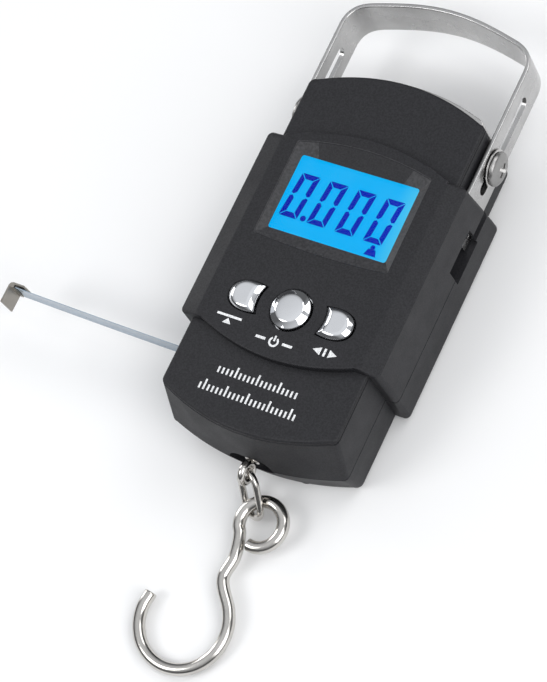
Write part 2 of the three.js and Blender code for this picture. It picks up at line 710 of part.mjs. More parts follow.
function caseScrew(x, y) {
  const profile = [[0, 0.5], [2.2, 0.5], [2.5, 0.8], [2.5, 2.5], [1.2, 2.5], [1.2, 19.6], [0, 20.6]];
  return cut(
    turned(profile, x, y, 16),
    block(x - 1.4, x + 1.4, y - 0.3, y + 0.3, 0, 1.3), block(x - 0.3, x + 0.3, y - 1.4, y + 1.4, 0, 1.3),
  );
}

// ---- assembly ----
const FINISH = {
  case: [0x3b3b3f, 0.62, 0], lens: [0x2aa6ff, 0.1, 0], screen: [0x12b4ff, 0.3, 0], light: [0xdff2ff, 0.4, 0],
  board: [0x14532d, 0.5, 0], chip: [0x18181a, 0.5, 0],
  chrome: [0xd9dadc, 0.12, 1], steel: [0xb9b9ba, 0.28, 1],
  alloy: [0xaeb0b3, 0.4, 1], tape: [0x9fb0bf, 0.35, 0.3],
  plain: [0x4c4c52, 0.6, 0], cell: [0x46484f, 0.4, 0.2],
};

function part(name, geometry, finish) {
  const [color, roughness, metalness] = FINISH[finish];
  const mesh = new THREE.Mesh(geometry, new THREE.MeshStandardMaterial({ color, roughness, metalness }));
  mesh.name = name;
  return mesh;
}

const scale = new THREE.Group();
scale.add(
  part('front_shell', frontShell(), 'case'),
  part('rear_shell', rearShell(), 'case'),
  part('display_lens', lens(), 'lens'),
  part('lcd_panel', lcdPanel(), 'screen'),
  part('backlight', backlight(), 'light'),
  part('main_board', mainBoard(), 'board'),
  part('controller_chip', chip(), 'chip'),
  part('power_button', roundButton(), 'chrome'),
  part('unit_button', crescentButton(), 'chrome'),
  part('tare_button', mirrored(crescentButton()), 'chrome'),
  part('power_switch', tactSwitch(0), 'chip'),
  part('unit_switch', tactSwitch(BUTTON.sideX), 'chip'),
  part('tare_switch', tactSwitch(-BUTTON.sideX), 'chip'),
  part('handle', handle(), 'steel'),
  part('hanger_strap', hangerStrap(), 'steel'),
  part('load_cell', loadCell(), 'alloy'),
  part('load_cell_bolt', loadCellBolt(), 'steel'),
  part('eyelet', eyelet(), 'steel'),
  part('link', link(), 'steel'),
  part('hook', hook(), 'steel'),
  part('tape_reel', tapeReel(), 'plain'),
  part('tape_coil', tapeCoil(), 'tape'),
  part('tape_blade', tapeBlade(), 'tape'),
  part('tape_end_hook', tapeEndHook(), 'steel'),
  part('reel_axle', reelAxle(), 'steel'),
  part('reel_spring', reelSpring(), 'steel'),
  part('battery_cover', batteryCover(), 'case'),
);
[['right', 1], ['left', -1]].forEach(([name, side]) => {
  const place = (geometry) => (side > 0 ? geometry : mirrored(geometry));
  scale.add(
    part(`handle_screw_${name}`, place(handleScrew()), 'steel'),
    part(`handle_washer_${name}`, place(washer()), 'steel'),
    part(`handle_nut_${name}`, place(nut()), 'steel'),
    part(`battery_${name}`, dryCell(side * CELLS.x), 'cell'),
    part(`battery_spring_${name}`, cellSpring(side * CELLS.x), 'steel'),
    part(`battery_contact_${name}`, cellContact(side * CELLS.x), 'steel'),
  );
});
CASE_SCREWS.forEach(([x, y], i) => scale.add(part(`case_screw_${i + 1}`, caseScrew(x, y), 'steel')));

export default scale;
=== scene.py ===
"""Looks for the digital hanging scale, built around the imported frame.

Lengths in the code are millimetres until they reach a mesh, which is in metres.
+X is right of the display, +Y towards the handle, +Z out of the display.
"""

import math

import bmesh
import bpy
from mathutils import Matrix, Vector


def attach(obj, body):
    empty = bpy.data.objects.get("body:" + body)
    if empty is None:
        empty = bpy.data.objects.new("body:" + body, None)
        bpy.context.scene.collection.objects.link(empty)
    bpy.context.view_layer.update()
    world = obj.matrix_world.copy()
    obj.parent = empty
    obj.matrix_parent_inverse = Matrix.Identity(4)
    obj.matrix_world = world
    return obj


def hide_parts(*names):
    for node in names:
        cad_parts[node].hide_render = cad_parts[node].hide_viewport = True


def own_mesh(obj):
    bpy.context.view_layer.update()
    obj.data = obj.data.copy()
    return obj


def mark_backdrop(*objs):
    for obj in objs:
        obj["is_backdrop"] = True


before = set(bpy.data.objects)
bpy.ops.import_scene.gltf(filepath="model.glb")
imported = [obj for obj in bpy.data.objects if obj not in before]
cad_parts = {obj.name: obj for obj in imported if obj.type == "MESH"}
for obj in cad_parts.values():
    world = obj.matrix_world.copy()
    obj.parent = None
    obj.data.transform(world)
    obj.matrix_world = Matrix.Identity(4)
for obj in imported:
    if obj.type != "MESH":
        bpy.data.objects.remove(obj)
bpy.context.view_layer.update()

MM = 0.001

# ---- driving dimensions, the same as the CAD model's ----
DEPTH, PARTING, WALL = 33.0, 14.0, 2.3
SEAM = 0.15                                     # half of the gap between the two shells
CORE_HALF, CORE_LOW, CORE_BOW, FACE_Z = 29.6, -54.3, 5.4, 30.5
TOP_CORNER, TOP_RISE = 53.7, 6.7
WIDE_HALF, WIDE_FRONT, WIDE_FACE = 33.6, 33.0, 27.3
WIDE_LOW, WIDE_HIGH, CHAMFER = -27.6, 33.0, 1.5
PANEL_HALF, PANEL_LOW, PANEL_HIGH = 27.1, -27.2, 33.9
PANEL_BOW, PANEL_ARCH = 5.9, 5.3
DISPLAY_HALF, DISPLAY_LOW, DISPLAY_HIGH, RECESS = 19.5, 4.9, 29.1, 1.5
SLOPE_HALF, SLOPE_LOW, SLOPE_HIGH = 22.0, 1.7, 32.4
BUTTON_Y, BUTTON_R, BUTTON_TOP, BUTTON_GAP, BUTTON_STEM = -17.2, 6.1, 34.9, 0.4, 1.7
CAP_HOLLOW, CAP_CORNER, CAP_HALF, CAP_BELLY, CAP_TIP, CAP_MIDDLE = 11.1, 10.3, 4.3, 15.5, 20.3, 14.6
SWITCH_TOP, FLANGE_LOW, FLANGE_HIGH = 26.9, 29.4, 30.5
HANDLE_IN, HANDLE_T, HANDLE_W, HANDLE_Z = 30.1, 1.4, 14.0, 18.8
HANDLE_TOP, HANDLE_FOOT, HANDLE_BEND = 88.0, 22.0, 74.5
SLOT_LOW, SLOT_HIGH, SLOT_HALF = 37.5, 70.0, 2.1
SCREW_Y, SCREW_R, SCREW_IN, HEAD_R = 46.5, 1.9, 20.4, 5.25
WASHER_R, WASHER_BORE, WASHER_T = 5.7, 2.2, 0.5
STRAP_X, STRAP_FOOT, STRAP_SHOULDER, STRAP_HALF, STRAP_PROUD = 25.7, 40.0, 53.0, 24.5, 0.6
STRAP_T, STRAP_W = 1.4, 12.0
EYE_Y, EYE_Z, EYE_R, EYE_WIRE = -61.3, 14.0, 3.0, 1.15
MOUTH_HALF, MOUTH_R, MOUTH_Z = 7.4, 4.6, 13.0
LINK_HALF, LINK_BEND, LINK_WIRE = 7.5, 4.1, 1.05
LINK_CENTRE = (1.2, -65.6, 8.26)
LINK_ALONG, LINK_ACROSS = Vector((-0.238, 0.636, 0.734)), Vector((0.884, -0.172, 0.436))
HOOK_AT, HOOK_WIRE, HOOK_EYE, HOOK_BOWL = (7.0, -72.3, 5.33), 1.9, 6.8, 13.9
BOWL_X, BOWL_Y = -10.1, -33.7
REEL_X, REEL_Y, REEL_OUTER, REEL_LOW, REEL_HIGH = -16.6, -42.2, 7.4, 13.6, 20.4
TAPE_T, TAPE_END, TAPE_BOW, MOUTH_X, TAPE_TRAVEL = 0.3, -94.5, 0.5, -29.4, 58.0
TAPE_Y = REEL_Y + REEL_OUTER + 0.3 + TAPE_T / 2
COVER_HALF, COVER_LOW, COVER_HIGH, COVER_GAP = 21.2, -31.0, 23.5, 0.3
CASE_SCREWS = [(-20, 38.5), (20, 38.5), (-11.5, -52.2), (11.5, -52.2)]


# ---- mesh building ----
def add_mesh(name, verts, faces):
    mesh = bpy.data.meshes.new(name)
    mesh.from_pydata([(x * MM, y * MM, z * MM) for x, y, z in verts], [], faces)
    mesh.validate()
    obj = bpy.data.objects.new(name, mesh)
    bpy.context.scene.collection.objects.link(obj)
    return obj


def loft(name, levels):
    """A closed skin through (z, outline) levels, all with the same number of points."""
    count = len(levels[0][1])
    verts = [(x, y, z) for z, outline in levels for x, y in outline]
    faces = [tuple(reversed(range(count)))]
    for k in range(len(levels) - 1):
        for i in range(count):
            a, b = k * count + i, k * count + (i + 1) % count
            faces.append((a, b, b + count, a + count))
    faces.append(tuple(range((len(levels) - 1) * count, len(levels) * count)))
    return add_mesh(name, verts, faces)


def prism(name, outline, z0, z1):
    """An outline carried straight up from one height to another."""
    return loft(name, [(z0, outline), (z1, outline)])


def block(name, x0, x1, y0, y1, z0, z1):
    return prism(name, [(x0, y0), (x1, y0), (x1, y1), (x0, y1)], z0, z1)


def clean(obj, merge=0.0):
    """Faces turned outwards, after joining the points that lie within the merge distance."""
    bm = bmesh.new()
    bm.from_mesh(obj.data)
    if merge:
        bmesh.ops.remove_doubles(bm, verts=bm.verts, dist=merge)
        bmesh.ops.dissolve_degenerate(bm, edges=bm.edges, dist=merge)
    bmesh.ops.recalc_face_normals(bm, faces=bm.faces)
    bm.to_mesh(obj.data)
    bm.free()


def lathe(name, profile, sides=64, place=None):
    """(radius, z) points turned about Z, upwards along the outside. Off the axis, they close to a ring."""
    ring = profile[0][0] > 1e-6
    verts, faces = [], []
    for r, z in profile:
        for i in range(sides):
            a = 2 * math.pi * i / sides
            verts.append((r * math.cos(a), r * math.sin(a), z))
    rows = len(profile)
    for k in range(rows if ring else rows - 1):
        for i in range(sides):
            a, b = k * sides + i, k * sides + (i + 1) % sides
            c, d = ((k + 1) % rows) * sides + (i + 1) % sides, ((k + 1) % rows) * sides + i
            faces.append((a, b, c, d))
    obj = add_mesh(name, verts, faces)
    clean(obj, merge=1e-7)
    if place is not None:
        obj.data.transform(place)
    return obj


def sweep(name, path, section, closed=False, across=Vector((0, 0, 1))):
    """A section of (out, up) points carried along a path, with u along it and v round it in a UV map."""
    points = [Vector(p) for p in path]
    count = len(points)
    size = len(section(0)) if callable(section) else len(section)
    verts, faces, lengths = [], [], [0.0]
    for i, p in enumerate(points):
        before = points[i - 1] if (i or closed) else p
        after = points[(i + 1) % count] if (i < count - 1 or closed) else p
        tangent = (after - before).normalized()
        out = tangent.cross(across).normalized()
        up = out.cross(tangent).normalized()
        rows = section(i / (count - 1)) if callable(section) else section
        verts += [tuple(p + out * o + up * u) for o, u in rows]
        lengths.append(lengths[-1] + (points[(i + 1) % count] - p).length)
    for i in range(count if closed else count - 1):
        for k in range(size):
            a, b = i * size + k, i * size + (k + 1) % size
            c, d = ((i + 1) % count) * size + (k + 1) % size, ((i + 1) % count) * size + k
            faces.append((a, b, c, d))
    if not closed:
        faces += [tuple(reversed(range(size))), tuple(range((count - 1) * size, count * size))]
    obj = add_mesh(name, verts, faces)
    uv = obj.data.uv_layers.new(name="along")
    for face in obj.data.polygons:
        whole = face.loop_total > 4
        for loop in face.loop_indices:
            v = obj.data.loops[loop].vertex_index
            ring, k = divmod(v, size)
            wrap_ring = closed and ring == 0 and any(
                obj.data.loops[other].vertex_index // size == count - 1 for other in face.loop_indices)
            wrap_side = k == 0 and any(
                obj.data.loops[other].vertex_index % size == size - 1 for other in face.loop_indices)
            along = lengths[count] if wrap_ring else lengths[ring]
            uv.data[loop].uv = (along * MM, (1 if wrap_side and not whole else k / size) * 0.01)
    clean(obj)
    return obj


def circle(radius, first=0.0, sweep_angle=360.0, steps=16, centre=(0, 0)):
    """Points round an arc, with both ends unless it is a whole circle."""
    rows = []
    for k in range(steps if sweep_angle == 360 else steps + 1):
        a = math.radians(first + sweep_angle * k / steps)
        rows.append((centre[0] + radius * math.cos(a), centre[1] + radius * math.sin(a)))
    return rows


def rounded_bar(t, w, r, steps):
    """The section of a flat strip, half-thickness by half-width, with round corners."""
    corners = ((t - r, w - r, 0), (r - t, w - r, 90), (r - t, r - w, 180), (t - r, r - w, 270))
    return [p for cx, cy, first in corners for p in circle(r, first, 90, steps, (cx, cy))]


def boolean(obj, tools, operation="DIFFERENCE"):
    """The object's mesh after cutting the tools out of it, or joining them to it. The tools are used up."""
    for tool in tools:
        step = obj.modifiers.new("cut", "BOOLEAN")
        step.operation = operation
        step.solver = "EXACT"
        step.object = tool
    bpy.context.view_layer.update()
    evaluated = obj.evaluated_get(bpy.context.evaluated_depsgraph_get())
    mesh = bpy.data.meshes.new_from_object(evaluated)
    obj.modifiers.clear()
    obj.data = mesh
    for tool in tools:
        bpy.data.objects.remove(tool)
    return obj


def soften(obj, width, angle):
    """A small bevel along every edge sharper than the angle."""
    bevel = obj.modifiers.new("soft_edges", "BEVEL")
    bevel.width = width * MM
    bevel.segments = 2
    bevel.limit_method = "ANGLE"
    bevel.angle_limit = math.radians(angle)


def finish_piece(obj, material, body, stands_for=(), angle=35, weighted=True):
    """Smooth shading with crisp edges, the material, the body to ride on and the CAD nodes it stands for."""
    obj.data.polygons.foreach_set("use_smooth", [True] * len(obj.data.polygons))
    obj.data.set_sharp_from_angle(angle=math.radians(angle))
    if weighted:
        modifier = obj.modifiers.new("even_shading", "WEIGHTED_NORMAL")
        modifier.keep_sharp = True
    obj.data.materials.clear()
    obj.data.materials.append(material)
    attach(obj, body)
    if stands_for:
        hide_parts(*stands_for)
    return obj


def rounded(inset, rise):
    """(inset, height) steps of a quarter-round edge, from the side wall up to the face."""
    return [(inset * (1 - x), rise * y) for x, y in circle(1, 0, 90, 5)]


# ---- materials ----
class Nodes:
    """A new material's node tree, with one call for each kind of node."""

    def __init__(self, name):
        self.material = bpy.data.materials.new(name)
        self.material.use_nodes = True
        self.tree = self.material.node_tree
        self.shader = self.tree.nodes["Principled BSDF"]

    def node(self, kind, **values):
        made = self.tree.nodes.new(kind)
        for key, value in values.items():
            if key in made.inputs.keys():
                made.inputs[key].default_value = value
            else:
                setattr(made, key, value)
        return made

    def join(self, output, target):
        self.tree.links.new(output, target)

    def place(self, stretch=(1, 1, 1), uv=False):
        """Coordinates in metres, on the object or along a swept piece."""
        source = self.node("ShaderNodeTexCoord")
        mapping = self.node("ShaderNodeMapping")
        mapping.inputs["Scale"].default_value = stretch
        self.join(source.outputs["UV" if uv else "Object"], mapping.inputs["Vector"])
        return mapping.outputs["Vector"]

    def noise(self, where, scale, detail=3.0, roughness=0.55):
        made = self.node("ShaderNodeTexNoise", Scale=scale, Detail=detail, Roughness=roughness)
        self.join(where, made.inputs["Vector"])
        return made.outputs["Fac"]

    def spread(self, value, low, high, start=0.3, end=0.7):
        """A noise value stretched to lie between low and high."""
        made = self.node("ShaderNodeMapRange")
        made.inputs["From Min"].default_value = start
        made.inputs["From Max"].default_value = end
        made.inputs["To Min"].default_value = low
        made.inputs["To Max"].default_value = high
        self.join(value, made.inputs["Value"])
        return made.outputs["Result"]

    def blend_colours(self, value, first, second):
        made = self.node("ShaderNodeMix", data_type="RGBA")
        made.inputs[6].default_value = (*first, 1)
        made.inputs[7].default_value = (*second, 1)
        self.join(value, made.inputs[0])
        return made.outputs[2]

    def bump(self, height, strength, distance, after=None):
        made = self.node("ShaderNodeBump")
        made.inputs["Strength"].default_value = strength
        made.inputs["Distance"].default_value = distance
        self.join(height, made.inputs["Height"])
        if after is not None:
            self.join(after, made.inputs["Normal"])
        return made.outputs["Normal"]

    def finish(self, **sockets):
        for key, value in sockets.items():
            name = key.replace("_", " ")
            if isinstance(value, bpy.types.NodeSocket):
                self.join(value, self.shader.inputs[name])
            else:
                self.shader.inputs[name].default_value = value
        return self.material


def moulded_plastic(name, colour, rough=(0.46, 0.6), grain=2600, relief=0.000045):
    """Fine spark-eroded grain over a faint mottling, as on a moulded case."""
    n = Nodes(name)
    where = n.place()
    fine = n.noise(where, grain, 2.0, 0.6)
    broad = n.noise(where, 90, 4.0)
    tone = n.spread(n.noise(where, grain * 0.8, 2.0), 0, 1, 0.35, 0.65)
    light = tuple(min(c * 1.3 + 0.003, 1) for c in colour)
    dark = tuple(c * 0.8 for c in colour)
    skin = n.bump(fine, 0.55, relief)
    skin = n.bump(broad, 0.12, 0.0002, skin)
    return n.finish(
        Base_Color=n.blend_colours(tone, dark, light), Roughness=n.spread(broad, *rough), Normal=skin,
        Specular_IOR_Level=0.32,
    )


def metal(name, colour, rough=(0.16, 0.3), brushed=None, uv=False, relief=0.000012, dull=0.86):
    """Metal with drawn or brushed lines along `brushed`, handling marks and a little tone variation."""
    n = Nodes(name)
    where = n.place()
    lines = n.noise(n.place(brushed or (1, 1, 1), uv), 1100 if brushed else 420, 4.0, 0.65)
    marks = n.noise(where, 70, 5.0, 0.6)
    tone = n.spread(n.noise(where, 160, 3.0), 0, 1)
    skin = n.bump(lines, 0.35, relief)
    skin = n.bump(marks, 0.05, 0.00012, skin)
    darker = tuple(c * dull for c in colour)
    return n.finish(
        Base_Color=n.blend_colours(tone, darker, colour), Metallic=1.0,
        Roughness=n.spread(marks, *rough), Normal=skin,
    )


def glow(name, colour, strength=1.0, far=None, start=0.0, end=1.0, axis="X"):
    """A lit screen: its light varies from one colour to another across the object."""
    n = Nodes(name)
    where = n.place()
    split = n.node("ShaderNodeSeparateXYZ")
    n.join(where, split.inputs[0])
    across = n.spread(split.outputs[axis], 0, 1, start, end)
    cloud = n.noise(where, 55, 2.0)
    mixed = n.node("ShaderNodeMath", operation="MULTIPLY_ADD")
    n.join(n.spread(cloud, -0.08, 0.1), mixed.inputs[2])
    n.join(across, mixed.inputs[0])
    mixed.inputs[1].default_value = 1.0
    mixed.use_clamp = True
    shade = n.blend_colours(mixed.outputs[0], colour, far or colour)
    n.join(shade, n.shader.inputs["Emission Color"])
    dim = n.node("ShaderNodeMix", data_type="RGBA")
    dim.inputs[0].default_value = 0.97
    dim.inputs[7].default_value = (0.0, 0.0, 0.0, 1)
    n.join(shade, dim.inputs[6])
    return n.finish(
        Base_Color=dim.outputs[2], Roughness=0.6, Specular_IOR_Level=0.05, Emission_Strength=strength,
    )


MATERIALS = {
    "case": moulded_plastic("charcoal_plastic", (0.0135, 0.0135, 0.016)),
    # display frame: the case plastic painted lighter, a painted sheen on the bezel slopes, and a little less
    # rough
    "frame": moulded_plastic("display_frame_painted_sheen", (0.034, 0.034, 0.037), (0.38, 0.5), 1500, 0.00006),
    "cover": moulded_plastic("charcoal_plastic_cover", (0.013, 0.013, 0.0155)),
    "inner": moulded_plastic("inner_plastic", (0.05, 0.05, 0.052), (0.4, 0.5), 900),
    "parts": moulded_plastic("black_parts", (0.012, 0.012, 0.013), (0.35, 0.5), 1800),
    "board": moulded_plastic("circuit_board", (0.008, 0.07, 0.03), (0.3, 0.45), 1200),
    "guide": moulded_plastic("light_guide", (0.75, 0.85, 0.95), (0.2, 0.35), 700),
    "jacket": moulded_plastic("cell_jacket", (0.02, 0.05, 0.09), (0.25, 0.35), 500),
    "print": moulded_plastic("white_print", (0.72, 0.73, 0.74), (0.5, 0.6), 3000, 0.00001),
    "chrome": metal("plated_buttons", (0.86, 0.87, 0.89), (0.03, 0.09), relief=0.000002, dull=0.95),
    "handle": metal("brushed_handle", (0.57, 0.565, 0.56), (0.2, 0.34), (0.035, 1.6, 1), uv=True),
    "steel": metal("plain_steel", (0.62, 0.61, 0.6), (0.22, 0.36), (1, 0.2, 1)),
    "screw": metal("screw_steel", (0.36, 0.355, 0.35), (0.3, 0.46)),
    "wire": metal("drawn_wire", (0.62, 0.6, 0.57), (0.1, 0.22), (0.05, 1, 1), uv=True),
    "blade_end": metal("tape_end_steel", (0.33, 0.31, 0.28), (0.28, 0.42), (1, 1, 0.15)),
    "alloy": metal("milled_alloy", (0.72, 0.72, 0.73), (0.3, 0.42), (1, 0.1, 1)),
}


def tape_material():
    """Lacquered blue-grey spring steel, a little worn along its length."""
    n = Nodes("tape_lacquer")
    wear = n.noise(n.place((0.2, 1, 1)), 500, 4.0)
    return n.finish(
        Base_Color=n.blend_colours(n.spread(wear, 0, 1), (0.21, 0.28, 0.36), (0.34, 0.42, 0.5)),
        Roughness=n.spread(wear, 0.26, 0.4), Metallic=0.35, Coat_Weight=0.4,
        Normal=n.bump(wear, 0.25, 0.00001),
    )


MATERIALS["tape"] = tape_material()


def window_material():
    n = Nodes("clear_window")
    smear = n.noise(n.place(), 60, 3.0)
    return n.finish(
        Base_Color=(0.86, 0.95, 1.0, 1), Roughness=n.spread(smear, 0.0, 0.03),
        Transmission_Weight=1.0, IOR=1.2,
    )


MATERIALS["window"] = window_material()
MATERIALS["screen"] = glow("lit_screen", (0.0, 0.47, 0.95), 0.95, (0.12, 0.66, 0.86), 0.0135, 0.0235)
MATERIALS["segment"] = glow("lit_segments", (0.0, 0.012, 0.42), 0.9, (0.0, 0.02, 0.5), -0.02, 0.02)


# ---- the case ----
def arched(half, low, low_rise, high, high_rise, corner=1.5, steps=44, round_steps=7):
    """Straight sides, arched ends and round corners, anticlockwise."""
    points, reach = [], half - corner

    def arch(x, rise):
        return rise * (1 - (x / half) ** 2)

    def turn(cx, cy, start):
        for i in range(1, round_steps):
            a = start + math.pi / 2 * i / round_steps
            points.append((cx + corner * math.cos(a), cy + corner * math.sin(a)))

    for i in range(steps + 1):
        x = -reach + 2 * reach * i / steps
        points.append((x, low - arch(x, low_rise) + arch(reach, low_rise)))
    turn(reach, low + corner, -math.pi / 2)
    points.extend([(half, low + corner), (half, high - corner)])
    turn(reach, high - corner, 0)
    for i in range(steps + 1):
        x = reach - 2 * reach * i / steps
        points.append((x, high + arch(x, high_rise) - arch(reach, high_rise)))
    turn(-reach, high - corner, math.pi / 2)
    points.extend([(-half, high - corner), (-half, low + corner)])
    turn(-reach, low + corner, math.pi)
    return points


def core_level(z, inset):
    """The core's outline at one height: it draws in from the parting line to the face and to the back."""
    t = min(max((z - PARTING) / (FACE_Z - PARTING), 0), 1)
    back = min(max(1 - z / PARTING, 0), 1)
    low = CORE_LOW + 5.5 * t + 2.5 * back
    half = CORE_HALF - 0.4 * t - 0.5 * back
    return z, arched(half - inset, low + inset, CORE_BOW + 1.4 * t, TOP_CORNER - inset, TOP_RISE, 2)


def core(name, inset, low, high):
    """The long middle block of the case: round at the back, with a groove and a small round at the face."""
    levels = []
    if low < 1:
        levels += [core_level(3 - dz, inset + step) for step, dz in reversed(rounded(2.4, 3.0))]
    else:
        levels.append(core_level(low, inset))
    if high > PARTING > low + 0.5:
        levels.append(core_level(PARTING, inset))
    if high >= FACE_Z - 0.01:
        if not inset:
            groove = ((-1.65, 0), (-1.55, 0.32), (-1.1, 0.32), (-1.0, 0.08))
            levels += [core_level(FACE_Z + dz, step) for dz, step in groove]
        levels += [core_level(FACE_Z - 0.8 + dz, inset + step) for step, dz in rounded(0.7, 0.8)]
    else:
        levels.append(core_level(high, inset))
    return loft(name, levels)


def wide_level(z, half, inset=0):
    """The wide block's outline at one height; it grows a little longer towards the back."""
    behind = 1 - z / DEPTH
    low, high = WIDE_LOW - 0.6 * behind + inset, WIDE_HIGH + 3.2 * behind - inset
    return z, arched(half, low, 0, high, 0, 1.6, 8)


def wide(name, low, high):
    """The wide block that holds the handle's legs, with broad bevels beside the face."""
    if low < 1:
        back = [wide_level(3 - dz, WIDE_HALF - step, step) for step, dz in reversed(rounded(2.8, 3.0))]
        return loft(name, back + [wide_level(high, WIDE_HALF)])
    edge = DEPTH - CHAMFER
    levels = [wide_level(low, WIDE_HALF), wide_level(edge - 0.35, WIDE_FRONT + 0.02)]
    levels += [wide_level(edge - 0.12, WIDE_FRONT - 0.05), wide_level(edge + 0.06, WIDE_FRONT - 0.3, 0.05)]
    levels += [wide_level(high - 0.1, WIDE_FACE + 0.4, 0.3), wide_level(high, WIDE_FACE, 0.4)]
    return loft(name, levels)


def panel(name):
    """The raised panel with the display and the buttons; both of its ends are arches."""
    def level(z, inset):
        low, high = PANEL_LOW + inset, PANEL_HIGH - inset
        return z, arched(PANEL_HALF - inset, low, PANEL_BOW, high, PANEL_ARCH, 1)

    return loft(name, [level(28, 0)] + [level(DEPTH - 0.5 + dz, step) for step, dz in rounded(0.45, 0.5)])


def strap_line(steps):
    """The steel strap's path: up beside the core, over its top and down again."""
    points = [(-STRAP_X, STRAP_FOOT), (-STRAP_X, STRAP_SHOULDER)]
    for i in range(steps + 1):
        x = STRAP_HALF * (2 * i / steps - 1)
        points.append((x, TOP_CORNER + TOP_RISE * (1 - (x / CORE_HALF) ** 2) + STRAP_PROUD))
    return points + [(STRAP_X, STRAP_SHOULDER), (STRAP_X, STRAP_FOOT)]


def strip_outline(points, thick):
    """The outline of a strip of even thickness along an open line."""
    def side(sign):
        row = []
        for i, (x, y) in enumerate(points):
            (ax, ay), (bx, by) = points[max(i - 1, 0)], points[min(i + 1, len(points) - 1)]
            step = sign * thick / 2 / math.hypot(bx - ax, by - ay)
            row.append((x - step * (by - ay), y + step * (bx - ax)))
        return row
    return side(-1) + side(1)[::-1]


def strap_room():
    """The cut through the case for the hanger strap, with clearance."""
    half = STRAP_W / 2 + 0.3
    outline = strip_outline(strap_line(14), STRAP_T + 0.6)
    return prism("strap_room", outline, HANDLE_Z - half, HANDLE_Z + half)


def handle_rooms():
    """The pockets for the handle's legs, each with its slit and window in the side wall."""
    clear, half = 0.35, HANDLE_W / 2 + 0.4
    pocket = (HANDLE_IN - clear, HANDLE_IN + HANDLE_T + clear, -4, 45, HANDLE_Z - half, HANDLE_Z + half)
    slit = (31, 36, 24, 40, 13, 15.9)
    window_hole = (31, 36, 12, 26, 11.5, 19.5)
    rooms = []
    for side in (-1, 1):
        for x0, x1, *rest in (pocket, slit, window_hole):
            rooms.append(block("room", *sorted((side * x0, side * x1)), *rest))
    return rooms


def bezier(p, steps):
    """Points along a cubic curve with four controls, without its first point."""
    rows = []
    for i in range(1, steps + 1):
        t = i / steps
        w = ((1 - t) ** 3, 3 * t * (1 - t) ** 2, 3 * t * t * (1 - t), t ** 3)
        rows.append(tuple(sum(a * q[k] for a, q in zip(w, p)) for k in (0, 1)))
    return rows


def crescent(inset, side=1, steps=18):
    """A button's outline: hollow towards the round button, with a round nose away from it."""
    radius = CAP_HOLLOW + inset
    angle = math.atan2(CAP_HALF - inset, CAP_CORNER)
    tip, y = CAP_TIP - inset, radius * math.sin(angle)
    points = circle(radius, math.degrees(angle), -2 * math.degrees(angle), steps)
    x0 = radius * math.cos(angle)
    points += bezier(((x0, -y), (CAP_BELLY, -y - 1.2), (tip, -y), (tip, 0)), steps)
    points += bezier(((tip, 0), (tip, y), (CAP_BELLY, y + 1.2), (x0, y)), steps)
    points = [(side * x, BUTTON_Y + yy) for x, yy in points[:-1]]
    return points[::-1] if side < 0 else points


def counter(points):
    """The same outline, running anticlockwise."""
    area = sum(a[0] * b[1] - b[0] * a[1] for a, b in zip(points, points[1:] + points[:1]))
    return points if area > 0 else points[::-1]


def post(name, radius, z0, z1, x, y):
    """An upright cylinder."""
    profile = [(0, z0), (radius, z0), (radius, z1), (0, z1)]
    return lathe(name, profile, 32, Matrix.Translation((x * MM, y * MM, 0)))


def along_x(x, y, z, side=1):
    """A turn that lays the Z axis along X, outwards on that side, and a move to a point."""
    turn = Matrix.Rotation(math.pi / 2 * side, 4, "Y")
    return Matrix.Translation((x * MM, y * MM, z * MM)) @ turn


def eyelet_mouth():
    """A round-ended slot along Y, drawn flat and stood up."""
    slot = circle(MOUTH_R, -90, 180, 16, (MOUTH_HALF - MOUTH_R, 0))
    slot += circle(MOUTH_R, 90, 180, 16, (MOUTH_R - MOUTH_HALF, 0))
    obj = prism("eyelet_mouth", slot, 50, 66)
    obj.data.transform(Matrix.Translation((0, 0, MOUTH_Z * MM)) @ Matrix.Rotation(math.pi / 2, 4, "X"))
    return obj


def mouths():
    """The openings for the hook's eyelet in the bottom and for the tape in the left wall."""
    return [
        eyelet_mouth(),
        block("tape_mouth", -36, -24, TAPE_Y - 1.1, TAPE_Y + 1.4, REEL_LOW - 0.8, REEL_HIGH + 0.8),
    ]


def cross_bore(name, radius):
    """A bore from side to side, on the line of the handle's screws."""
    reach = 36
    profile = [(0, -reach), (radius, -reach), (radius, reach), (0, reach)]
    return lathe(name, profile, 32, along_x(0, SCREW_Y, HANDLE_Z))


